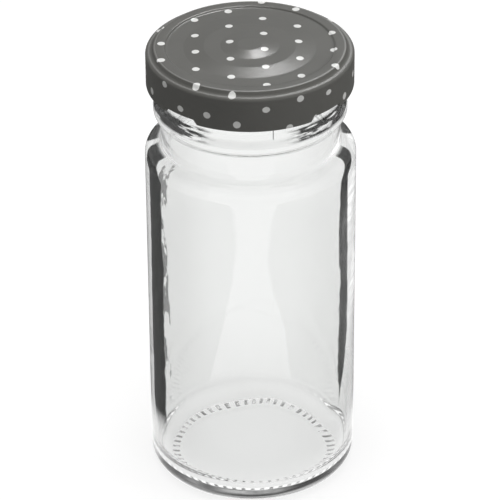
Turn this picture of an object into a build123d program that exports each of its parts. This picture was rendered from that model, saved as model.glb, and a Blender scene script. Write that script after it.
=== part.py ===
from build123d import *
from math import asin, atan2, degrees, hypot, radians, sin, tan
import os

os.makedirs("parts", exist_ok=True)

# Spice jar with a lug cap: a straight-sided glass jar, a pressed tinplate cap, and the
# sealing ring that is flowed into the channel under the cap's rim.
# Millimetres, +Z up. The jar's axis is Z and its foot stands on Z = 0.
# Plan angles are in degrees, anticlockwise from +X.

# Glass finish, the part of the neck that the cap screws onto
finish_radius = 22.65        # plain wall between the threads
finish_wall = 2.35           # glass at the mouth
finish_height = 15.1         # middle of the transfer bead to the sealing rim
rim_round = 0.9              # both edges of the sealing rim
neck_groove_depth = 0.35     # the neck under the bead, inside the plain wall
neck_height = 9.45           # shoulder to the middle of the bead
bead_depth = 1.21            # the bead stands this far out of the plain wall
bead_root_height = 4.6
bead_crest_height = 1.6      # before rounding
bead_round = 1.5
bead_foot_round = 1.5

# Threads: short slanted beads, one for each lug
thread_count = 4
thread_span = 60             # degrees of plan angle, end to end
thread_rise = 1.7            # from its low end to its high end
thread_depth = 1.3
thread_root_height = 1.8
thread_crest_height = 0.9
thread_round = 0.3

# Glass body
shoulder_width = 3.5         # the body stands this far outside the plain wall
shoulder_height = 91.8       # where the side and the shoulder would meet unrounded
shoulder_rise = 1.25         # the shoulder's slope up to the neck
shoulder_round = 3.8
neck_foot_round = 1.2
inner_shoulder_round = 3.0
bore_foot_round = 1.5
side_wall = 2.0
heel_round = 4.35
floor_round = 6.5
base_thickness = 1.8         # foot to the inside floor where the floor meets the side

# Foot: a flat ring with radial knurls, round a shallow push-up
bearing_width = 3.0
push_up_height = 0.45        # the inside floor rises with it
knurl_count = 56
knurl_depth = 0.35
knurl_half_width = 0.5
knurl_margin = 0.35          # plain land left at both edges of the ring

# Cap: pressed tinplate
sheet = 0.2
skirt_depth = 10.1           # top of the rim to the bottom of the hem
curl_radius = 0.65           # outside of the rolled hem
curl_sweep = 285             # degrees that the edge is rolled through
cap_edge_round = 0.8
cap_ledge_width = 2.0        # outside of the skirt to the raised rim
rim_step = 1.05              # the raised rim stands this far above the ledge
rim_step_run = 0.55          # width of that step's slope
ledge_round = 0.9            # foot of that slope
channel_width = 2.7          # flat top of the raised rim, over the glass
panel_drop = 0.35            # rim down to the panel
step_run = 0.3               # width of the slope down to the panel
press_round = 0.3
first_rise = 0.38            # outer stepped slope of the panel
second_rise = 0.4            # inner stepped slope
slope_round = 3.0
# Plan radii of the panel's two slopes, as shares of the panel's radius
first_slope_outer_share = 0.79
first_slope_inner_share = 0.55
second_slope_outer_share = 0.35
second_slope_inner_share = 0.148

# Lugs: at each one the hem is pressed up and inwards
lug_angle = 47.5             # plan angle of the first lug
lug_width = 8.0              # at the tip
lug_thickness = 0.6
lug_round = 0.25
lug_corner_round = 1.2
notch_width = 9.0            # gap in the hem, at its top
notch_ramp = 0.8             # each end of the gap slopes over this length
notch_lift = 1.3
hem_plug_length = 1.0        # hem crushed solid beside the gap

# Sealing ring
seal_thickness = 0.9

# Fits
seal_gap = 0.05              # glass rim to ring
seal_clearance = 0.05        # ring to sheet
hem_clearance = 0.25         # thread to the inside of the hem
lug_clearance = 0.3          # lug tip to the plain wall
grip_clearance = 0.15        # lug to the underside of its thread
lug_lead = 3                 # degrees that the lug stands in from its thread's low end

# Construction
overrun = 1.0                # cutters pass through by this much
embed = 0.5                  # threads are rooted this deep in the glass
fit_share = 0.95             # rounds take up at most this share of the run they lie on

# Worked out from the values above, on the glass
neck_radius = finish_radius - neck_groove_depth
bore_radius = finish_radius - finish_wall
bead_radius = finish_radius + bead_depth
thread_radius = finish_radius + thread_depth
body_radius = finish_radius + shoulder_width
inside_radius = body_radius - side_wall
neck_foot_z = shoulder_height + shoulder_rise
bead_z = neck_foot_z + neck_height
rim_z = bead_z + finish_height
bearing_outer_radius = body_radius - heel_round
bearing_inner_radius = bearing_outer_radius - bearing_width

# Worked out on the cap
cap_radius = thread_radius + hem_clearance + 2 * curl_radius
seal_bottom_z = rim_z + seal_gap
seal_top_z = seal_bottom_z + seal_thickness
cap_top_z = seal_top_z + seal_clearance + sheet
ledge_z = cap_top_z - rim_step
panel_z = cap_top_z - panel_drop
plateau_z = panel_z + first_rise
button_z = plateau_z + second_rise
rim_outer_radius = cap_radius - cap_ledge_width
rim_inner_radius = rim_outer_radius - channel_width
panel_radius = rim_inner_radius - step_run
hem_z = cap_top_z - skirt_depth
lug_z = hem_z + notch_lift
lug_top_z = lug_z + lug_thickness
lug_tip_radius = finish_radius + lug_clearance

# Threads sit just above the lugs
pitch_angle = 360 / thread_count
thread_low_z = lug_top_z + grip_clearance + thread_root_height / 2
thread_middle_z = thread_low_z + thread_rise / 2
lug_half_angle = degrees(asin(lug_width / 2 / lug_tip_radius))
thread_start_angle = lug_angle - lug_half_angle - lug_lead
opening_turn = thread_span + (pitch_angle - thread_span) / 2 - lug_lead - lug_half_angle


def turned(corners, arc=360):
    """A solid of revolution about Z. Each corner is (radius, height, round)."""
    points = [(radius, height) for radius, height, _ in corners]
    rounds = [corner_round for _, _, corner_round in corners]
    outline = FilletPolyline(*points, radius=rounds, close=True)
    return revolve(Plane.XZ * make_face(outline), Axis.Z, arc)


def rounds_on_slope(first, second, run, rise):
    """Two rounds at the ends of a slope between upright walls, kept short enough for it."""
    turn = radians(90) - atan2(rise, abs(run))
    taken = (first + second) * tan(turn / 2)
    scale = min(1, fit_share * hypot(run, rise) / taken)
    return first * scale, second * scale


def jar_body():
    """The glass without its threads and knurls."""
    outer_round, neck_round = rounds_on_slope(
        shoulder_round, neck_foot_round, body_radius - neck_radius, shoulder_rise
    )
    inner_round, bore_round = rounds_on_slope(
        inner_shoulder_round, bore_foot_round, inside_radius - bore_radius, shoulder_rise
    )
    bead_bottom_z = bead_z - bead_root_height / 2
    bead_top_z = bead_z + bead_root_height / 2
    crest_bottom_z = bead_z - bead_crest_height / 2
    crest_top_z = bead_z + bead_crest_height / 2
    return turned(
        [
            (0, push_up_height, 0),
            (bearing_inner_radius, 0, 0),
            (body_radius, 0, heel_round),
            (body_radius, shoulder_height, outer_round),
            (neck_radius, neck_foot_z, neck_round),
            (neck_radius, bead_bottom_z, bead_foot_round),
            (bead_radius, crest_bottom_z, bead_round),
            (bead_radius, crest_top_z, bead_round),
            (finish_radius, bead_top_z, bead_foot_round),
            (finish_radius, rim_z, rim_round),
            (bore_radius, rim_z, rim_round),
            (bore_radius, neck_foot_z - side_wall, bore_round),
            (inside_radius, shoulder_height - side_wall, inner_round),
            (inside_radius, base_thickness, floor_round),
            (0, base_thickness + push_up_height, 0),
        ]
    )


def thread():
    """One thread bead, round-ended, centred on the X axis and rising anticlockwise."""
    base_radius = finish_radius - embed
    half_root = thread_root_height / 2
    half_crest = thread_crest_height / 2
    half_base = half_root + embed * (half_root - half_crest) / thread_depth
    section = FilletPolyline(
        (base_radius, -half_base),
        (thread_radius, -half_crest),
        (thread_radius, half_crest),
        (base_radius, half_base),
        radius=[0, thread_round, thread_round, 0],
        close=True,
    )
    half_section = FilletPolyline(
        (base_radius, 0),
        (thread_radius, 0),
        (thread_radius, half_crest),
        (base_radius, half_base),
        radius=[0, 0, thread_round, 0],
        close=True,
    )
    end_angle = degrees(asin(half_root / finish_radius))
    run_angle = thread_span - 2 * end_angle
    ridge = revolve(Plane.XZ * make_face(section), Axis.Z, run_angle)
    ridge = Rot(Z=-run_angle / 2) * ridge
    end = revolve(Plane.XZ * make_face(half_section), Axis.X, 360)
    for side in (-1, 1):
        ridge += Rot(Z=side * run_angle / 2) * end
    slant = atan2(thread_rise, 2 * finish_radius * sin(radians(thread_span / 2)))
    return Rot(X=degrees(slant)) * ridge


def knurl():
    """Cutter for one radial knurl of the foot, on the X axis."""
    tool_radius = (knurl_half_width**2 + knurl_depth**2) / (2 * knurl_depth)
    length = bearing_width - 2 * knurl_margin
    middle_radius = bearing_inner_radius + bearing_width / 2
    place = Pos(middle_radius, 0, knurl_depth - tool_radius)
    return place * Rot(Y=90) * Cylinder(tool_radius, length)


def glass_jar():
    """The jar: one piece of glass with threads round its mouth and a knurled foot."""
    seam_angle = thread_start_angle - (pitch_angle - thread_span) / 2
    jar = Rot(Z=seam_angle) * jar_body()    # its seam runs between two threads
    bead = thread()
    middle_angle = thread_start_angle + thread_span / 2
    for number in range(thread_count):
        turn = middle_angle + number * pitch_angle
        jar += Pos(0, 0, thread_middle_z) * Rot(Z=turn) * bead
    cutter = knurl()
    jar -= [Rot(Z=360 * number / knurl_count) * cutter for number in range(knurl_count)]
    return jar


def shell_body():
    """The cap as pressed and rolled, before its lugs are formed."""
    curl_x = cap_radius - curl_radius
    curl_z = hem_z + curl_radius
    upper = FilletPolyline(
        (0, button_z),
        (panel_radius * second_slope_inner_share, button_z),
        (panel_radius * second_slope_outer_share, plateau_z),
        (panel_radius * first_slope_inner_share, plateau_z),
        (panel_radius * first_slope_outer_share, panel_z),
        (panel_radius, panel_z),
        (rim_inner_radius, cap_top_z),
        (rim_outer_radius, cap_top_z),
        (rim_outer_radius + rim_step_run, ledge_z),
        (cap_radius, ledge_z),
        (cap_radius, curl_z),
        radius=[slope_round] * 4 + [press_round] * 3 + [ledge_round, cap_edge_round],
    )
    curl = CenterArc((curl_x, curl_z), curl_radius, 0, -curl_sweep)
    outside = Wire(upper.edges() + curl.edges())
    section = outside.offset_2d(sheet, kind=Kind.ARC, side=Side.RIGHT, closed=True)
    return revolve(Plane.XZ * make_face(section.edges()), Axis.Z)


def hem_plug():
    """The hem crushed solid round one lug, on the X axis."""
    half_width = notch_width / 2 + notch_ramp + hem_plug_length
    half_angle = degrees(asin(half_width / cap_radius))
    middle = Pos(cap_radius - curl_radius, hem_z + curl_radius)
    section = middle * Circle(curl_radius - sheet / 2)
    return Rot(Z=-half_angle) * revolve(Plane.XZ * section, Axis.Z, 2 * half_angle)


def hem_notch():
    """Cutter for the gap in the hem at one lug, on the X axis."""
    top_z = lug_z + lug_round
    half_top = notch_width / 2
    half_bottom = half_top + notch_ramp
    outline = Polyline(
        (-half_bottom, hem_z - overrun),
        (half_bottom, hem_z - overrun),
        (half_bottom, hem_z),
        (half_top, top_z),
        (-half_top, top_z),
        (-half_bottom, hem_z),
        close=True,
    )
    start_radius = finish_radius - overrun
    plane = Plane.YZ.offset(start_radius)
    return extrude(plane * make_face(outline), cap_radius + overrun - start_radius)


def lug():
    """One lug, on the X axis: a folded tab that reaches in under its thread."""
    section = FilletPolyline(
        (lug_tip_radius, lug_z),
        (cap_radius, lug_z),
        (cap_radius, lug_top_z),
        (lug_tip_radius, lug_top_z),
        radius=[lug_round, lug_round, 0, lug_round],
        close=True,
    )
    half_angle = degrees(asin((notch_width / 2 + overrun) / cap_radius))
    tab = Rot(Z=-half_angle) * revolve(Plane.XZ * make_face(section), Axis.Z, 2 * half_angle)
    hem_inner_radius = cap_radius - 2 * curl_radius
    half_tip = lug_width / 2
    half_root = notch_width / 2
    plan = FilletPolyline(
        (lug_tip_radius - overrun, -half_tip),
        (lug_tip_radius, -half_tip),
        (hem_inner_radius, -half_root),
        (cap_radius + overrun, -half_root),
        (cap_radius + overrun, half_root),
        (hem_inner_radius, half_root),
        (lug_tip_radius, half_tip),
        (lug_tip_radius - overrun, half_tip),
        radius=[0, lug_corner_round, lug_corner_round, 0, 0, lug_corner_round, lug_corner_round, 0],
        close=True,
    )
    mould = extrude(Plane.XY.offset(lug_z - overrun) * make_face(plan), lug_thickness + 2 * overrun)
    return tab & mould


def cap_shell():
    """The cap: stepped panel, raised rim, plain skirt, and a rolled hem with lugs."""
    turns = [Rot(Z=lug_angle + number * pitch_angle) for number in range(thread_count)]
    shell = shell_body()
    shell += [turn * hem_plug() for turn in turns]
    shell -= [turn * hem_notch() for turn in turns]
    shell += [turn * lug() for turn in turns]
    return shell


def sealing_ring():
    """The ring of sealing compound in the channel under the cap's rim."""
    inner_radius = rim_inner_radius + sheet + seal_clearance
    outer_radius = rim_outer_radius - sheet
    return turned(
        [
            (inner_radius, seal_bottom_z, 0),
            (outer_radius, seal_bottom_z, 0),
            (outer_radius, seal_top_z, 0),
            (inner_radius, seal_top_z, 0),
        ]
    )


nodes = {"glass_jar": glass_jar, "cap_shell": cap_shell, "sealing_ring": sealing_ring}
for name, build in nodes.items():
    solid = build()
    solid.label = name
    export_step(solid, f"parts/{name}.step")
print(f"total height {button_z:.2f}, cap diameter {2 * cap_radius:.2f}")
print(f"body diameter {2 * body_radius:.2f}, opening turn {opening_turn:.1f} degrees")
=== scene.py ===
import math
from functools import reduce

import bpy
import numpy as np
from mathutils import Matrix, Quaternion, Vector


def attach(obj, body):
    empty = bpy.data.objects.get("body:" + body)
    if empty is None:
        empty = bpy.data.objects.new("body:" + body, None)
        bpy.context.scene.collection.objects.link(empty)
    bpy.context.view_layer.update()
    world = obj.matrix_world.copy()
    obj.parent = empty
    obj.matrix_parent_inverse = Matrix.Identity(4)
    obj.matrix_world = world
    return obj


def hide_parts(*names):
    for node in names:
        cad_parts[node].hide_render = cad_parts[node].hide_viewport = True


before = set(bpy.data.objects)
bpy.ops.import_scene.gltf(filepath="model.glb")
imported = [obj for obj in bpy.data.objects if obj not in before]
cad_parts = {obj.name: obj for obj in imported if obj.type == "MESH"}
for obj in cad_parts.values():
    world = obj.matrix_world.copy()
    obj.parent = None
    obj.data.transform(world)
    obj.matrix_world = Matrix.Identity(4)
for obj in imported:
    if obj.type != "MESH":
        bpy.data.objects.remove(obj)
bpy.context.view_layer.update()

MM = 0.001

# Sizes are in millimetres and angles in degrees. The main sizes are the CAD's. Some rounds,
# the knurls and the edges of the lugs are simpler here than there.

# The glass
finish_radius, neck_radius, bore_radius = 22.65, 22.3, 20.3
bead_radius, thread_radius = 23.86, 23.95
body_radius, inside_radius = 26.15, 24.15
shoulder_z, neck_foot_z, bead_z, rim_z = 91.8, 93.05, 102.5, 117.6
inner_shoulder_drop = 2.0
base_thickness, push_up_z = 1.8, 0.45
bearing_inner, bearing_outer = 18.8, 21.8
bearing_round, heel_round, floor_round = 0.6, 4.35, 6.5
shoulder_round, inner_shoulder_round = 3.05, 2.4
neck_foot_round, bore_foot_round, rim_round = 1.0, 1.5, 0.9
bead_root_half, bead_crest_half, bead_round = 2.3, 0.8, 1.5
thread_count, thread_middle_z, thread_rise, thread_span = 4, 112.5, 1.7, 60.0
thread_middle_angle, thread_end_round = 64.462, 0.9
thread_crest_half, thread_root_half = 0.32, 0.98
knurl_count, knurl_half_width = 56, 0.52
knurl_depth, knurl_depth_change, knurl_scatter = 0.32, 0.07, 12.9898
knurl_margin, knurl_full = 0.2, 0.6        # from both edges of the bearing ring

# Marks of the mould, which the CAD leaves out
seam_angle, seam_height, seam_width, seam_radius = -76.1, 0.09, 0.16, 23.0
seam_foot_z, seam_full_z = 100.6, 101.6
collar_line_z, collar_line_height, collar_line_width = 103.1, 0.05, 0.14

# The cap
cap_radius, cap_top_z, hem_z = 25.5, 118.8, 108.7
ledge_z, panel_z, plateau_z, button_z = 117.75, 118.45, 118.83, 119.23
rim_outer, rim_inner, panel_radius = 23.5, 20.8, 20.5
button_share, plateau_inner_share = 0.148, 0.35
plateau_outer_share, slope_foot_share = 0.55, 0.79
rim_step_run = 0.55
cap_edge_round, ledge_round, press_round, slope_round = 0.8, 0.9, 0.3, 3.0
sheet, curl_radius, curl_sweep = 0.2, 0.65, 285
lug_count, lug_angle, lug_z = 4, 47.5, 110.0
lug_thickness, lug_tip_radius = 0.6, 22.95
notch_inner, notch_outer = 4.3, 5.5        # where the hem slopes up, around from a lug's middle
lug_inner, lug_outer = 3.4, 4.9            # where the lug's own sides slope

# The sealing ring
seal_inner, seal_middle, seal_outer = 21.05, 22.2, 23.3
seal_bottom_z, seal_top_z = 117.65, 118.55
seal_round, seal_inner_round = 0.12, 0.25

# The dots, printed on the flat blank before it is pressed
dot_column_pitch, dot_row_pitch = 8.42, 8.52
dot_column_start, dot_row_start = 3.54, -2.53
dot_turn = -1.3
dot_solid, dot_gone, dot_span = 0.88, 0.98, 2.0    # the dot's radius, and its ramp's length
# Pressing the ledge stretches the sheet, which moves the dots there
stretch, stretch_in, stretch_out = 0.65, (22.5, 25.5), (26.5, 32.0)

# Mesh fineness
glass_segments, cap_segments, seal_segments = 672, 576, 288
foot_step, finish_step, plain_step, glass_arc_step = 0.17, 0.16, 1.6, 0.22
cap_line_step, cap_arc_step, curl_points = 0.8, 0.07, 34
seal_line_step, seal_arc_step = 0.3, 0.06
widest_arc = 0.2                           # radians between two points of any round
tiny = 1e-6                                # mm, taken as nothing


def fillet_path(corners, line_step, arc_step):
    """Points along a path of (radius, height, round) corners, with each corner rounded."""
    pts = [np.array(c[:2], float) for c in corners]
    out = [pts[0]]
    for i in range(1, len(pts) - 1):
        p, a, b, r = pts[i], pts[i - 1], pts[i + 1], corners[i][2]
        u, v = (a - p) / np.linalg.norm(a - p), (b - p) / np.linalg.norm(b - p)
        half = math.acos(u @ v) / 2
        cut = r / math.tan(half)
        start, stop = p + u * cut, p + v * cut
        mid = p + (u + v) / np.linalg.norm(u + v) * (r / math.sin(half))
        a0 = math.atan2(*(start - mid)[::-1])
        a1 = math.atan2(*(stop - mid)[::-1])
        turn = (a1 - a0 + math.pi) % (2 * math.pi) - math.pi
        n = max(3, int(abs(turn) * r / arc_step), int(abs(turn) / widest_arc))
        for k in range(n + 1):
            t = a0 + turn * k / n
            out.append(mid + r * np.array([math.cos(t), math.sin(t)]))
    out.append(pts[-1])
    dense = [out[0]]
    for q in out[1:]:
        gap = q - dense[-1]
        length = float(np.linalg.norm(gap))
        if length < tiny:
            continue
        step = line_step(dense[-1], q) if callable(line_step) else line_step
        n = max(1, math.ceil(length / step))
        start = dense[-1]
        for k in range(1, n + 1):
            dense.append(start + gap * k / n)
    return np.array(dense)


def lathe(name, rows, segments, material_rows=None):
    """A mesh from rows of points, each of shape (segments, 3) in mm, or (1, 3) at the axis."""
    verts = np.concatenate(rows) * MM
    starts = np.cumsum([0] + [len(r) for r in rows])
    faces, slots = [], []
    for i in range(len(rows) - 1):
        a, b = starts[i], starts[i + 1]
        na, nb = len(rows[i]), len(rows[i + 1])
        slot = material_rows[i] if material_rows is not None else 0
        for k in range(segments):
            m = (k + 1) % segments
            if na == 1:
                face = (a, b + m, b + k)
            elif nb == 1:
                face = (a + k, a + m, b)
            else:
                face = (a + k, a + m, b + m, b + k)
            faces.append(face)
            slots.append(slot)
    mesh = bpy.data.meshes.new(name)
    mesh.from_pydata(verts.tolist(), [], faces)
    mesh.validate()
    mesh.polygons.foreach_set("use_smooth", [True] * len(mesh.polygons))
    mesh.polygons.foreach_set("material_index", slots)
    mesh.update()
    obj = bpy.data.objects.new(name, mesh)
    bpy.context.scene.collection.objects.link(obj)
    return obj


def smooth(lo, hi, x):
    t = np.clip((x - lo) / (hi - lo), 0, 1)
    return t * t * (3 - 2 * t)


def bell(x, width):
    return np.exp(-((x / width) ** 2))


def around(segments):
    return np.arange(segments) * 2 * math.pi / segments


def from_nearest(theta, middle, pitch):
    """The angle from the nearest of the places that repeat with the pitch."""
    return (theta - middle + pitch / 2) % pitch - pitch / 2


def ring(radius, height, theta):
    radius = np.broadcast_to(radius, theta.shape)
    height = np.broadcast_to(height, theta.shape)
    return np.stack([radius * np.cos(theta), radius * np.sin(theta), height], axis=1)


# ---------------------------------------------------------------- glass
def thread_height(theta, z):
    """How far the threads stand out of the plain wall."""
    half_span = math.radians(thread_span / 2)
    slope = thread_rise / (2 * finish_radius * math.sin(half_span))
    end = half_span - math.asin(thread_end_round / finish_radius)
    off = from_nearest(theta, math.radians(thread_middle_angle), 2 * math.pi / thread_count)
    across = z - thread_middle_z - finish_radius * np.sin(off) * slope
    beyond = np.clip(np.abs(off) - end, 0, None) * finish_radius
    away = np.hypot(across, beyond)
    tall = 1 - smooth(thread_crest_half, thread_root_half, away)
    return tall * (thread_radius - finish_radius)


def mould_marks(theta, z):
    """The ridge where the halves of the mould meet, and the faint ring above the bead."""
    off = from_nearest(theta, math.radians(seam_angle), math.pi)
    seam = seam_height * bell(off * seam_radius, seam_width)
    seam = seam * smooth(seam_foot_z, seam_full_z, z)
    return seam + collar_line_height * bell(z - collar_line_z, collar_line_width)


def knurl_height(theta, r):
    """How deep the knurl grooves are cut up into the bearing ring."""
    pitch = 2 * math.pi / knurl_count
    off = from_nearest(theta, 0, pitch) * r
    uneven = np.sin(np.round(theta / pitch) * knurl_scatter)
    depth = knurl_depth + knurl_depth_change * uneven
    end = smooth(bearing_inner + knurl_margin, bearing_inner + knurl_full, r)
    end = end * (1 - smooth(bearing_outer - knurl_full, bearing_outer - knurl_margin, r))
    return depth * end * np.clip(1 - (off / knurl_half_width) ** 2, 0, None)


def wave(theta, z):
    """Slow waviness of the blown inner surface, in mm."""
    waves = (  # height in mm, count around, turn per mm of height, start
        (0.10, 2, 0.035, 0.6),
        (0.08, 3, -0.06, 2.1),
        (0.05, 5, 0.11, 4.0),
        (0.035, 9, -0.17, 1.3),
    )
    total = sum(tall * np.sin(n * theta + turn * z + start) for tall, n, turn, start in waves)
    level_height, level_climb, level_start, level_sway = 0.05, 0.16, 1.1, 0.5
    sway = level_sway * np.sin(theta)
    return total + level_height * np.sin(level_climb * z + level_start + sway)


def glass_profile():
    foot_zone, foot_zone_z = (18.5, 22.5), 0.2
    finish_zone_radius, finish_zone = 22.0, (99.5, 118.0)

    def step(a, b):
        r, z = (a[0] + b[0]) / 2, (a[1] + b[1]) / 2
        if z < foot_zone_z and foot_zone[0] < r < foot_zone[1]:
            return foot_step
        if a[0] > finish_zone_radius and finish_zone[0] < z < finish_zone[1]:
            return finish_step
        return plain_step

    return fillet_path(
        [
            (0, push_up_z, 0),
            (bearing_inner, 0, bearing_round),
            (body_radius, 0, heel_round),
            (body_radius, shoulder_z, shoulder_round),
            (neck_radius, neck_foot_z, neck_foot_round),
            (neck_radius, bead_z - bead_root_half, bead_round),
            (bead_radius, bead_z - bead_crest_half, bead_round),
            (bead_radius, bead_z + bead_crest_half, bead_round),
            (finish_radius, bead_z + bead_root_half, bead_round),
            (finish_radius, rim_z, rim_round),
            (bore_radius, rim_z, rim_round),
            (bore_radius, neck_foot_z - inner_shoulder_drop, bore_foot_round),
            (inside_radius, shoulder_z - inner_shoulder_drop, inner_shoulder_round),
            (inside_radius, base_thickness, floor_round),
            (0, base_thickness + push_up_z, 0),
        ],
        step,
        glass_arc_step,
    )


def make_glass():
    theta = around(glass_segments)
    profile = glass_profile()
    threads_from_z, threads_from_radius, marks_from_radius = 110.0, 22.0, 21.5
    # The inside begins a few points after the profile comes up to the rim
    flat_z, rim_slack, rim_points = 0.05, 0.01, 4
    wave_low, wave_high, wave_kept, floor_middle = (4.2, 9.0), (84, 92), 0.4, 5.0
    at_rim = next(i for i, p in enumerate(profile) if p[1] > rim_z - rim_slack)
    rows = []
    for i, (r, z) in enumerate(profile):
        if r < tiny:
            rows.append(np.array([[0.0, 0.0, z]]))
            continue
        radius, height = r, z
        outside = i < at_rim + rim_points
        if outside and z > threads_from_z and r > threads_from_radius:
            radius = radius + thread_height(theta, z)
        if outside and z > seam_foot_z and r > marks_from_radius:
            radius = radius + mould_marks(theta, z)
        if outside and z < flat_z and bearing_inner < r < bearing_outer:
            height = height + knurl_height(theta, r)
        if not outside and r > floor_middle:
            amount = smooth(*wave_low, z) * (1 - (1 - wave_kept) * smooth(*wave_high, z))
            radius = radius + wave(theta, z) * amount
        rows.append(ring(radius, height, theta))
    return lathe("jar_glass", rows, glass_segments)


# ---------------------------------------------------------------- cap
def cap_profile():
    return fillet_path(
        [
            (0, button_z, 0),
            (panel_radius * button_share, button_z, slope_round),
            (panel_radius * plateau_inner_share, plateau_z, slope_round),
            (panel_radius * plateau_outer_share, plateau_z, slope_round),
            (panel_radius * slope_foot_share, panel_z, slope_round),
            (panel_radius, panel_z, press_round),
            (rim_inner, cap_top_z, press_round),
            (rim_outer, cap_top_z, press_round),
            (rim_outer + rim_step_run, ledge_z, ledge_round),
            (cap_radius, ledge_z, cap_edge_round),
            (cap_radius, hem_z + curl_radius, 0),
        ],
        cap_line_step,
        cap_arc_step,
    )


def make_cap():
    theta = around(cap_segments)
    off = from_nearest(theta, math.radians(lug_angle), 2 * math.pi / lug_count)
    arc = np.abs(off) * cap_radius
    lift = 1 - smooth(notch_inner, notch_outer, arc)
    inward = 1 - smooth(lug_inner, lug_outer, arc)
    half_wide = curl_radius + inward * ((cap_radius - lug_tip_radius) / 2 - curl_radius)
    half_tall = curl_radius + lift * (lug_thickness / 2 - curl_radius)
    hem_middle = hem_z + curl_radius
    middle_z = hem_middle + lift * (lug_z + lug_thickness / 2 - hem_middle)

    upper = cap_profile()
    tangent = np.gradient(upper, axis=0)
    tangent /= np.linalg.norm(tangent, axis=1)[:, None]
    normal = np.stack([-tangent[:, 1], tangent[:, 0]], axis=1)
    lower = upper - normal * sheet
    # How far each row lies from the middle, along the sheet, places the printed dots
    along = np.concatenate([[0], np.cumsum(np.linalg.norm(np.diff(upper, axis=0), axis=1))])
    along -= stretch * smooth(*stretch_in, along) * (1 - smooth(*stretch_out, along))
    skirt_top = ledge_z - cap_edge_round
    skirt_end = upper[-1, 1]

    def skirted(points):
        """Rows of the pressed part; the skirt stretches down to the hem's middle."""
        rows = []
        for r, z in points:
            if r < tiny:
                rows.append(np.array([[0.0, 0.0, z]]))
                continue
            down = max(0.0, (skirt_top - z) / (skirt_top - skirt_end))
            height = z if down == 0 else skirt_top + down * (middle_z - skirt_top)
            rows.append(ring(r, height, theta))
        return rows

    def curl_row(angle, inset):
        """A row of the rolled hem, on its outside or inset to the hollow within."""
        x = cap_radius - half_wide + (half_wide - inset) * math.cos(angle)
        return ring(x, middle_z + (half_tall - inset) * math.sin(angle), theta)

    sweep = np.radians(np.linspace(0, -curl_sweep, curl_points))[1:]
    front = skirted(upper)
    front_reach = [np.full(len(row), far) for row, far in zip(front, along)]
    front += [curl_row(angle, 0) for angle in sweep]
    front_reach += [np.full(cap_segments, along[-1] - angle * curl_radius) for angle in sweep]
    back = [curl_row(angle, sheet) for angle in sweep[::-1]] + skirted(lower[::-1])
    back_reach = [np.zeros(len(row)) for row in back]

    slots = [0] * len(front) + [1] * (len(back) - 1)
    obj = lathe("cap_lacquered", front + back, cap_segments, slots)
    attribute = obj.data.attributes.new("reach", "FLOAT", "POINT")
    attribute.data.foreach_set("value", np.concatenate(front_reach + back_reach).tolist())
    return obj


# ---------------------------------------------------------------- ring
def make_ring():
    path = fillet_path(
        [
            (seal_middle, seal_bottom_z, 0),
            (seal_outer, seal_bottom_z, seal_round),
            (seal_outer, seal_top_z, seal_round),
            (seal_inner, seal_top_z, seal_round),
            (seal_inner, seal_bottom_z, seal_inner_round),
            (seal_middle, seal_bottom_z, 0),
        ],
        seal_line_step,
        seal_arc_step,
    )
    theta = around(seal_segments)
    return lathe("seal_compound", [ring(r, z, theta) for r, z in path], seal_segments)


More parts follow.
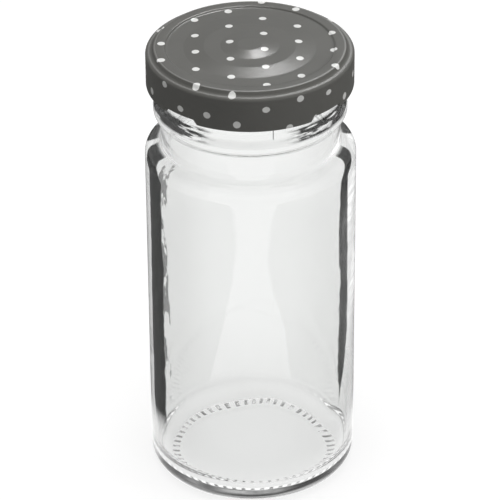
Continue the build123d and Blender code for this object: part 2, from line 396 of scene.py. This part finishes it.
# ---------------------------------------------------------------- materials
class Nodes:
    """A short way to add and join shader nodes."""

    def __init__(self, tree):
        self.tree = tree
        tree.nodes.clear()

    def add(self, kind, _op=None, _inputs=None, **settings):
        node = self.tree.nodes.new(kind)
        if _op:
            node.operation = _op
        for key, value in settings.items():
            setattr(node, key, value)
        for key, value in (_inputs or {}).items():
            self.put(node.inputs[key], value)
        return node

    def put(self, socket, value):
        if isinstance(value, bpy.types.NodeSocket):
            self.tree.links.new(value, socket)
        else:
            socket.default_value = value

    def math(self, op, *values, clamp=False):
        node = self.add("ShaderNodeMath", op)
        node.use_clamp = clamp
        for socket, value in zip(node.inputs, values):
            self.put(socket, value)
        return node.outputs[0]

    def times(self, *values):
        return reduce(lambda a, b: self.math("MULTIPLY", a, b), values)

    def plus(self, a, b):
        return self.math("ADD", a, b)

    def minus(self, a, b):
        return self.math("SUBTRACT", a, b)

    def most(self, *values):
        return reduce(lambda a, b: self.math("MAXIMUM", a, b), values)

    def times_plus(self, value, factor, more):
        return self.math("MULTIPLY_ADD", value, factor, more)

    def vector(self, op, *values, out=0):
        node = self.add("ShaderNodeVectorMath", op)
        for socket, value in zip(node.inputs, values):
            self.put(socket, value)
        return node.outputs[out]

    def turned(self, vector, degrees):
        inputs = {"Vector": vector, "Angle": math.radians(degrees)}
        node = self.add("ShaderNodeVectorRotate", rotation_type="Z_AXIS", _inputs=inputs)
        return node.outputs[0]

    def ramp(self, value, stops):
        node = self.add("ShaderNodeValToRGB", _inputs={"Fac": value})
        elements = node.color_ramp.elements
        while len(elements) < len(stops):
            elements.new(0.5)
        for element, (pos, grey) in zip(elements, stops):
            element.position = pos
            element.color = (grey, grey, grey, 1)
        return node.outputs["Color"]

    def noise(self, vector, scale, detail):
        node = self.add(
            "ShaderNodeTexNoise", _inputs={"Vector": vector, "Scale": scale, "Detail": detail}
        )
        return node.outputs["Fac"]

    def centred(self, value, amount):
        """A 0 to 1 value, moved to lie about 0 and scaled to the amount."""
        return self.times(self.minus(value, 0.5), amount)

    def step(self, value, low, high):
        """Rises smoothly from 0 at low to 1 at high, or falls where high is below low."""
        node = self.add("ShaderNodeMapRange", interpolation_type="SMOOTHSTEP")
        rising = low < high
        self.put(node.inputs["Value"], value)
        self.put(node.inputs["From Min"], min(low, high))
        self.put(node.inputs["From Max"], max(low, high))
        self.put(node.inputs["To Min"], 0.0 if rising else 1.0)
        self.put(node.inputs["To Max"], 1.0 if rising else 0.0)
        return node.outputs["Result"]

    def mix(self, fac, a, b, blend_type="MIX"):
        node = self.add("ShaderNodeMix", data_type="RGBA", blend_type=blend_type)
        self.put(node.inputs["Factor"], fac)
        self.put(node.inputs["A"], a)
        self.put(node.inputs["B"], b)
        return node.outputs["Result"]

    def bump(self, height, strength, distance):
        inputs = {"Height": height, "Strength": strength, "Distance": distance}
        return self.add("ShaderNodeBump", _inputs=inputs).outputs["Normal"]

    def principled(self, colour, roughness, normal, **inputs):
        inputs = {"Base Color": colour, "Roughness": roughness, "Normal": normal, **inputs}
        return self.add("ShaderNodeBsdfPrincipled", _inputs=inputs).outputs[0]

    def mix_shader(self, fac, a, b):
        return self.add("ShaderNodeMixShader", _inputs={0: fac, 1: a, 2: b}).outputs[0]


def material(name, shade):
    """A material whose surface is what shade(nodes) returns."""
    mat = bpy.data.materials.new(name)
    mat.use_nodes = True
    n = Nodes(mat.node_tree)
    out = n.add("ShaderNodeOutputMaterial")
    n.put(out.inputs["Surface"], shade(n))
    return mat


# In the glass, heights, radii and lean (which is X) are in metres. Facing is 0.15 in the middle
# of the jar and 1 at its sides, as the photo's camera sees it. A pair says where a step starts
# and ends, or the scale and detail of a noise.
# The second colour here is painted shade, for the glass towards its sides
clean_colour, side_shade_colour = (0.985, 0.99, 0.985, 1), (0.87, 0.875, 0.87, 1)
# Both colours here are painted shade: for the bands, streaks and groove marks, and beside the
# pale column
painted_dark_colour, column_shade_colour = (0.0014, 0.0015, 0.0014, 1), (0.86, 0.865, 0.86, 1)


def painted_side_bands(n, coord, facing, lean, height, spread):
    """The painted shade of the dark bands down both sides of the body, as 0 to 1, with ragged
    inner edges.
    """
    drawn_out, drift_noise, ragged_noise = (1.0, 1.0, 0.45), (90.0, 4.0), (480.0, 5.0)
    drift_width, ragged_width, slant, slant_middle = 0.08, 0.045, 0.30, 0.06
    drawn = n.vector("MULTIPLY", coord, drawn_out)
    drift, ragged = n.noise(drawn, *drift_noise), n.noise(drawn, *ragged_noise)
    wobble = n.plus(n.centred(drift, drift_width), n.centred(ragged, ragged_width))
    wobble = n.plus(wobble, n.times(n.minus(height, slant_middle), slant))
    edge = n.plus(facing, wobble)

    # Over the shoulder the bands lie farther round. The left one reaches farther out.
    over_shoulder, inner_shift, outer_shift = (0.0880, 0.0930), 0.13, 0.20
    inner_edge, outer_edge, outer_lean = (0.546, 0.564), (0.738, 0.715), 2.0
    climb = n.step(height, *over_shoulder)
    inner = n.minus(edge, n.times(climb, inner_shift))
    outer = n.minus(n.plus(edge, n.times(lean, outer_lean)), n.times(climb, outer_shift))
    # Each band narrows at its foot, the right one from higher up
    tip, tip_lean, tip_narrowing = (0.034, 0.013), 0.35, 0.13
    taper = n.step(n.minus(height, n.times(lean, tip_lean)), *tip)
    outer = n.times_plus(taper, tip_narrowing, outer)
    band = n.times(n.step(inner, *inner_edge), n.step(outer, *outer_edge))

    # The right band is a little paler in the middle of its height
    depth, paleness, on_right = 0.998, 0.030, (0.0, 0.005)
    middle_top, middle_foot = (0.087, 0.074), (0.026, 0.044)
    pale = n.times(n.step(lean, *on_right), n.times(ragged, paleness))
    pale = n.times(pale, n.times(n.step(height, *middle_top), n.step(height, *middle_foot)))
    band = n.times(band, n.minus(depth, pale))

    # Torn flecks of painted shade lie along the inner edge of the left band
    patch_noise, patch_edge, fringe_depth = (260.0, 3.0), (0.44, 0.50), 0.86
    fringe_inner, fringe_outer = (0.492, 0.505), (0.60, 0.59)
    on_left, fringe_foot = (0.005, 0.0), (0.024, 0.032)
    patches = n.step(n.noise(drawn, *patch_noise), *patch_edge)
    fringe = n.times(n.step(edge, *fringe_inner), n.step(edge, *fringe_outer), patches)
    fringe = n.times(fringe, n.step(lean, *on_left), n.step(height, *fringe_foot))
    band = n.most(band, n.times(fringe, fringe_depth))

    # All of this lies on the outer surface, from above the heel up to the neck
    foot, foot_lean, top = (0.0165, 0.0235), 0.15, (0.0933, 0.0927)
    skin_radius, skin_drop, skin_shoulder = 0.0248, 0.0027, (0.0885, 0.0912)
    skin = n.minus(skin_radius, n.times(n.step(height, *skin_shoulder), skin_drop))
    above = n.step(n.minus(height, n.times(lean, foot_lean)), *foot)
    tall = n.times(above, n.step(height, *top), n.math("GREATER_THAN", spread, skin))
    return n.times(band, tall)


def collar_streaks(n, coord, facing, height, spread):
    """The fine dark streaks of painted shade on the glass above the bead, and its parting line.
    """
    drawn_out, hatch_noise, wander, more_aside = (1.0, 1.0, 9.0), (170.0, 3.0), 0.15, 0.24
    sides, cover_edge, streak_depth = (0.19, 0.28), (0.45, 0.57), 0.995
    foot, top = (0.1031, 0.1036), (0.1072, 0.1062)
    hatch = n.noise(n.vector("MULTIPLY", coord, drawn_out), *hatch_noise)
    wide = n.plus(facing, n.centred(hatch, wander))
    cover = n.times_plus(facing, more_aside, hatch)
    streaks = n.times(n.step(wide, *sides), n.step(cover, *cover_edge))
    streaks = n.times(streaks, n.times(n.step(height, *foot), n.step(height, *top)))

    line_foot, line_edge, line_depth = (0.1046, 0.1052), (0.00016, 0.00008), 0.95
    turn = math.radians(seam_angle)
    across = (-math.sin(turn), math.cos(turn), 0.0)
    off = n.math("ABSOLUTE", n.vector("DOT_PRODUCT", coord, across, out="Value"))
    line = n.times(n.step(off, *line_edge), n.step(height, *line_foot))

    outer_surface = (0.0216, 0.0221)
    marks = n.most(n.times(streaks, streak_depth), n.times(line, line_depth))
    return n.times(marks, n.step(spread, *outer_surface))


def painted_groove_shade(n, coord, height, spread):
    """Painted shade on the tops of the knurl grooves under the foot, in random patches."""
    bottom, top, depth = (0.00006, 0.00020), (0.0007, 0.0006), 0.93
    inner, outer = (0.0189, 0.0191), (0.0218, 0.0216)
    groove_shade_noise, groove_shade_edge = (420.0, 2.0), (0.34, 0.56)
    raised = n.times(n.step(height, *bottom), n.step(height, *top))
    band = n.times(n.step(spread, *inner), n.step(spread, *outer))
    groove_shade = n.step(n.noise(coord, *groove_shade_noise), *groove_shade_edge)
    return n.times(n.times(raised, band), n.times(groove_shade, depth))


def shade_beside_column(n, facing, height, spread):
    """Where painted shade lies: all but a pale column on the inside of the far wall, which
    widens towards its foot. The pale column is a painted reflection.
    """
    inner_surface, foot, fade = 0.0250, (0.006, 0.009), (0.080, 0.058)
    column_edge, edge_width, flare_width, flare_top = 0.153, 0.010, 0.105, 0.060
    behind = n.add("ShaderNodeNewGeometry").outputs["Backfacing"]
    inside = n.times(n.math("LESS_THAN", spread, inner_surface), n.minus(1.0, behind))
    flare = n.math("POWER", n.step(height, flare_top, 0.0), 2.0)
    column = n.times_plus(flare, flare_width, column_edge)
    column_shade = n.step(n.minus(facing, column), 0.0, edge_width)
    tall = n.times(n.step(height, *foot), n.step(height, *fade))
    return n.times(column_shade, inside, tall)


def trapped_light(n, coord, lean, height, groove_shade):
    """A painted glow: an emission standing in for the soft grey of light that has been mirrored
    many times inside the wall. It is streaky and patchy, stronger on the wall above the foot and
    on its right side, and weaker on the groove marks.
    """
    drawn_out, streak_noise, streak_edge = (1.0, 1.0, 6.0), (150.0, 3.0), (0.36, 0.64)
    patch_noise, patch_edge, wall_foot = (48.0, 1.0), (0.30, 0.62), (0.006, 0.012)
    on_right, right_top, right_foot = (0.010, 0.022), (0.0935, 0.0900), (0.010, 0.020)
    base_glow, streak_glow, wall_glow, right_glow, groove_glow_change = 0.04, 0.60, 0.5, 0.5, -0.3
    streaky = n.noise(n.vector("MULTIPLY", coord, drawn_out), *streak_noise)
    trapped_glow = n.times_plus(n.step(streaky, *streak_edge), streak_glow, base_glow)
    trapped_glow = n.times(trapped_glow, n.step(n.noise(coord, *patch_noise), *patch_edge))
    trapped_glow = n.times_plus(n.step(height, *wall_foot), wall_glow, trapped_glow)
    right_edge = n.times(n.step(lean, *on_right), n.step(height, *right_top))
    right_edge = n.times(right_edge, n.step(height, *right_foot))
    trapped_glow = n.times_plus(right_edge, right_glow, trapped_glow)
    trapped_glow = n.times(trapped_glow, n.times_plus(groove_shade, groove_glow_change, 1.0))
    return n.add("ShaderNodeEmission", _inputs={"Strength": trapped_glow}).outputs[0]


def glass_surface(n):
    ior, mirrored_often, groove_glow_share = 1.52, 2.5, 0.5
    side_shade_facing, side_shade_foot = (0.15, 0.42), (0.006, 0.020)
    on_right, right_change = (0.0, 0.012), -0.45
    ripple_noise, ripple_strength, ripple_distance = (45.0, 2.0), 0.06, 0.002
    upright_foot = (0.001, 0.006)
    shade_stops = [(0.0, 0.97), (0.5, 0.93), (0.85, 0.72), (1.0, 0.55)]

    coord = n.add("ShaderNodeTexCoord").outputs["Object"]
    place = n.add("ShaderNodeSeparateXYZ", _inputs={0: coord})
    lean, height = place.outputs[0], place.outputs[2]
    level = n.vector("MULTIPLY", coord, (1.0, 1.0, 0.0))
    spread = n.vector("LENGTH", level, out="Value")
    outward = n.vector("NORMALIZE", level)
    weight = n.add("ShaderNodeLayerWeight", _inputs={"Blend": 0.5, "Normal": outward})
    facing = weight.outputs["Facing"]

    # Painted shade: the groove marks, the dark side bands and the streaks above the bead
    groove_shade = painted_groove_shade(n, coord, height, spread)
    bands = painted_side_bands(n, coord, facing, lean, height, spread)
    dark = n.most(bands, collar_streaks(n, coord, facing, height, spread), groove_shade)
    # Painted shade: clear in the middle, a little darker towards the sides, and less so on the
    # right
    side_shade = n.times(n.step(facing, *side_shade_facing), n.step(height, *side_shade_foot))
    side_shade = n.times(side_shade, n.times_plus(n.step(lean, *on_right), right_change, 1.0))
    shaded_tone = n.mix(side_shade, clean_colour, side_shade_colour)
    # Painted shade beside a pale column, which is a painted reflection
    column_shade = shade_beside_column(n, facing, height, spread)
    shaded_tone = n.mix(column_shade, shaded_tone, column_shade_colour, blend_type="MULTIPLY")
    tint = n.mix(dark, shaded_tone, painted_dark_colour)
    ripple = n.bump(n.noise(coord, *ripple_noise), ripple_strength, ripple_distance)
    glass = n.principled(tint, 0.0, ripple, **{"IOR": ior, "Transmission Weight": 1.0})

    path = n.add("ShaderNodeLightPath")
    trapped = n.math("GREATER_THAN", path.outputs["Glossy Depth"], mirrored_often)
    # Painted glow: the glass gives way to the glow where light is mirrored often, and in part on
    # the groove marks
    glow_mix = n.most(trapped, n.times(groove_shade, groove_glow_share))
    glass = n.mix_shader(glow_mix, glass, trapped_light(n, coord, lean, height, groove_shade))

    # Shadow and diffuse rays pass through, dimmed most where they graze the wall
    upright = n.times(facing, n.step(height, *upright_foot))
    shade = n.ramp(upright, shade_stops)
    clear = n.add("ShaderNodeBsdfTransparent", _inputs={"Color": shade}).outputs[0]
    soft = n.most(path.outputs["Is Shadow Ray"], path.outputs["Is Diffuse Ray"])
    return n.mix_shader(soft, glass, clear)


def dot_distance(n, coord, reach, flat, outward):
    """The distance from the nearest dot's middle, on the blank, in mm."""
    ragged_noise, ragged_width, least_reach = (1800.0, 2.0), 0.12, 0.01
    scaled = n.add("ShaderNodeVectorMath", "SCALE", _inputs={0: outward, "Scale": reach})
    blank = n.turned(scaled.outputs[0], dot_turn)
    parts = n.add("ShaderNodeSeparateXYZ", _inputs={0: blank})
    u = n.math("DIVIDE", n.minus(parts.outputs[0], dot_column_start), dot_column_pitch)
    column = n.math("ROUND", u)
    v = n.math("DIVIDE", n.minus(parts.outputs[1], dot_row_start), dot_row_pitch)
    # Every other column is moved by half a row
    v = n.minus(v, n.times(n.math("FLOORED_MODULO", column, 2.0), 0.5))
    du = n.times(n.minus(u, column), dot_column_pitch)
    dv = n.times(n.minus(v, n.math("ROUND", v)), dot_row_pitch)
    away = n.add("ShaderNodeCombineXYZ", _inputs={0: du, 1: dv}).outputs[0]

    # Drawing the skirt narrows the blank around, so a dot there gets narrower too
    radial = n.vector("DOT_PRODUCT", away, n.turned(outward, dot_turn), out="Value")
    whole = n.vector("LENGTH", away, out="Value")
    radial2 = n.times(radial, radial)
    across2 = n.minus(n.times(whole, whole), radial2)
    real = n.times(n.vector("LENGTH", flat, out="Value"), 1 / MM)
    squeeze = n.math("DIVIDE", real, n.math("MAXIMUM", reach, least_reach))
    squeeze = n.math("MINIMUM", squeeze, 1.0)
    across2 = n.times(across2, n.times(squeeze, squeeze))
    size = n.math("SQRT", n.plus(radial2, across2))
    return n.plus(size, n.centred(n.noise(coord, *ragged_noise), ragged_width))


def lacquer_surface(n):
    grey_low, grey_high = (0.107, 0.106, 0.097, 1), (0.123, 0.122, 0.112, 1)
    grain_colour, grain_share = (0.150, 0.149, 0.138, 1), 0.25
    # The dots on the skirt get a darker copy of the print's colour, which is painted shade for
    # the skirt's weaker light
    top_paint, shaded_skirt_dots = (0.92, 0.92, 0.90, 1), (0.66, 0.66, 0.64, 1)
    dot_shade_change, edge_from = (23.6, 25.2), (22.9, 23.4)     # mm along the sheet
    plain_rough, cloud_rough, edge_rough, ior = 0.175, 0.05, 0.26, 1.5
    grain_noise, cloud_noise = (2600.0, 3.0), (60.0, 3.0)
    grain_height, dot_height, bump_strength, bump_distance = 0.5, 0.6, 0.35, 0.00003

    coord = n.add("ShaderNodeTexCoord").outputs["Object"]
    reach = n.add("ShaderNodeAttribute", attribute_name="reach").outputs["Fac"]
    flat = n.vector("MULTIPLY", coord, (1.0, 1.0, 0.0))
    outward = n.vector("NORMALIZE", flat)
    size = dot_distance(n, coord, reach, flat, outward)
    dot_stops = [(0.0, 1.0), (dot_solid / dot_span, 1.0), (dot_gone / dot_span, 0.0), (1.0, 0.0)]
    dot = n.ramp(n.math("DIVIDE", size, dot_span), dot_stops)

    grain, cloud = n.noise(coord, *grain_noise), n.noise(coord, *cloud_noise)
    grey = n.mix(cloud, grey_low, grey_high)
    grey = n.mix(n.times(grain, grain_share), grey, grain_colour)
    colour = n.mix(dot, grey, n.mix(n.step(reach, *dot_shade_change), top_paint, shaded_skirt_dots))
    rough = n.plus(n.times(cloud, cloud_rough), plain_rough)
    rough = n.plus(rough, n.times(n.step(reach, *edge_from), edge_rough))
    height = n.plus(n.times(grain, grain_height), n.times(dot, dot_height))
    return n.principled(colour, rough, n.bump(height, bump_strength, bump_distance), IOR=ior)


def grained(scale, detail, low, high, strength, distance, roughness):
    """The shade function of a plain surface, with a fine grain between two colours."""

    def surface(n):
        coord = n.add("ShaderNodeTexCoord").outputs["Object"]
        grain = n.noise(coord, scale, detail)
        bump = n.bump(grain, strength, distance)
        return n.principled(n.mix(grain, low, high), roughness, bump)

    return surface


inside_surface = grained(
    scale=900.0,
    detail=3.0,
    low=(0.70, 0.68, 0.62, 1),
    high=(0.78, 0.76, 0.70, 1),
    strength=0.2,
    distance=0.00003,
    roughness=0.35,
)
seal_surface = grained(
    scale=1400.0,
    detail=4.0,
    low=(0.60, 0.60, 0.56, 1),
    high=(0.70, 0.70, 0.66, 1),
    strength=0.4,
    distance=0.00005,
    roughness=0.6,
)

glass = make_glass()
glass.data.materials.append(material("clear_soda_lime_glass", glass_surface))
cap = make_cap()
cap.data.materials.append(material("grey_satin_lacquer", lacquer_surface))
cap.data.materials.append(material("pale_inside_lacquer", inside_surface))
seal = make_ring()
seal.data.materials.append(material("sealing_compound", seal_surface))

for piece, body, node, slot in (
    (glass, "jar", "glass_jar", "clear_glass"),
    (cap, "cap", "cap_shell", "grey_lacquered_tinplate"),
    (seal, "seal", "sealing_ring", "sealing_compound"),
):
    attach(piece, body)
    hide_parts(node)


# ---------------------------------------------------------------- stage, in metres
def floor_surface(n):
    glow_from, glow_to, glow_near, glow_far = 0.3, 3.0, 0.66, 1.1
    through_share, under_glow, beneath_glow = 0.84, 1.1, 0.06
    under_edge, beneath_edge = (0.045, 0.030), (0.030, 0.024)
    grey, bounced_grey = (0.5, 0.5, 0.5, 1), (0.75, 0.75, 0.75, 1)
    mirrored_grey = (0.2, 0.2, 0.2, 1)

    # Cycles counts a ray refracted by clear glass as glossy and as transmitted at once
    path = n.add("ShaderNodeLightPath")
    through = path.outputs["Is Transmission Ray"]
    mirrored = n.math("SUBTRACT", path.outputs["Is Glossy Ray"], through, clamp=True)
    dimmed = n.times(through, through_share)
    seen = n.math("ADD", path.outputs["Is Camera Ray"], dimmed, clamp=True)
    coord = n.add("ShaderNodeTexCoord").outputs["Object"]
    away = n.vector("LENGTH", coord, out="Value")
    glow = n.add(
        "ShaderNodeMapRange",
        _inputs={
            "Value": away,
            "From Min": glow_from,
            "From Max": glow_to,
            "To Min": glow_near,
            "To Max": glow_far,
        },
    ).outputs[0]
    # Painted light: the floor close under the jar glows brighter in reflections, and a little
    # brighter seen through the glass
    under = n.times(n.step(away, *under_edge), under_glow)
    glow = n.plus(n.times(glow, seen), n.times(under, mirrored))
    beneath = n.times(n.step(away, *beneath_edge), through)
    glow = n.times_plus(beneath, beneath_glow, glow)
    pale = n.mix(path.outputs["Is Diffuse Ray"], grey, bounced_grey)
    pale = n.mix(mirrored, pale, mirrored_grey)
    diffuse = n.add("ShaderNodeBsdfDiffuse", _inputs={"Color": pale}).outputs[0]
    light = n.add("ShaderNodeEmission", _inputs={"Strength": glow}).outputs[0]
    return n.add("ShaderNodeAddShader", _inputs={0: diffuse, 1: light}).outputs[0]


def make_floor():
    half = 6.0
    corners = [(-half, -half, 0), (half, -half, 0), (half, half, 0), (-half, half, 0)]
    mesh = bpy.data.meshes.new("floor")
    mesh.from_pydata(corners, [], [(0, 1, 2, 3)])
    mesh.materials.append(material("pale_floor", floor_surface))
    floor = bpy.data.objects.new("floor", mesh)
    bpy.context.scene.collection.objects.link(floor)


def make_world():
    plain_light, seen_more, mirrored_more = 0.22, 0.78, 0.38
    world = bpy.data.worlds.new("studio")
    bpy.context.scene.world = world
    world.use_nodes = True
    n = Nodes(world.node_tree)
    out = n.add("ShaderNodeOutputWorld")
    path = n.add("ShaderNodeLightPath")
    seen = n.most(path.outputs["Is Camera Ray"], path.outputs["Is Transmission Ray"])
    mirrored = n.math("SUBTRACT", path.outputs["Is Glossy Ray"], seen, clamp=True)
    strength = n.plus(n.times(seen, seen_more), plain_light)
    strength = n.plus(strength, n.times(mirrored, mirrored_more))
    back = n.add("ShaderNodeBackground", _inputs={"Strength": strength})
    n.put(out.inputs["Surface"], back.outputs[0])


def place_facing(obj, at, direction):
    bpy.context.scene.collection.objects.link(obj)
    obj.location = at
    obj.rotation_mode = "QUATERNION"
    obj.rotation_quaternion = direction.to_track_quat("-Z", "Y")


def area_light(name, at, target, size, power):
    data = bpy.data.lights.new(name, "AREA")
    data.shape = "RECTANGLE"
    data.size, data.size_y = size
    data.energy = power
    lamp = bpy.data.objects.new(name, data)
    place_facing(lamp, at, Vector(target) - Vector(at))
    lamp.visible_transmission = False
    return lamp


def link_light(lamp, collection_name, piece, state):
    """Let the lamp light this piece alone (INCLUDE), or all but this piece (EXCLUDE)."""
    linked = bpy.data.collections.new(collection_name)
    linked.objects.link(piece)
    linked.collection_objects[0].light_linking.link_state = state
    lamp.light_linking.receiver_collection = linked


make_floor()
make_world()

sheen = area_light(
    "sheen_behind",
    at=(0.196, 1.059, 1.303),
    target=(0, 0, 0.12),
    size=(0.36, 0.46),
    power=15.5,
)
sheen.visible_diffuse = False
link_light(sheen, "sheen_on_cap", cap, "INCLUDE")
overhead = area_light(
    "overhead",
    at=(0.0, -0.1, 1.9),
    target=(0, 0, 0.06),
    size=(1.2, 1.2),
    power=22.0,
)
overhead.visible_glossy = False
right = area_light(
    "right",
    at=(1.7, -0.6, 0.8),
    target=(0, 0, 0.08),
    size=(0.8, 0.8),
    power=10.0,
)
right.visible_glossy = False
link_light(right, "right_off_glass", glass, "EXCLUDE")

# The camera that was fitted to the photo's outlines, in millimetres and radians
camera_distance, camera_target = 852.93, (-0.30, 0, 60.53)
camera_pitch, camera_roll = math.radians(31.39), -0.0068
focal_pixels, image_pixels, sensor_width = 3384.5, 500, 36
clip_start, clip_end = 0.01, 50            # metres

camera_data = bpy.data.cameras.new("camera")
camera_data.sensor_width = sensor_width
camera_data.lens = sensor_width * focal_pixels / image_pixels
camera_data.clip_start, camera_data.clip_end = clip_start, clip_end
camera = bpy.data.objects.new("camera", camera_data)
forward = Vector((0, math.cos(camera_pitch), -math.sin(camera_pitch)))
place_facing(camera, Vector(camera_target) * MM - forward * camera_distance * MM, forward)
camera.rotation_quaternion = camera.rotation_quaternion @ Quaternion((0, 0, 1), camera_roll)
bpy.context.scene.camera = camera
bpy.context.scene.view_settings.view_transform = "Standard"
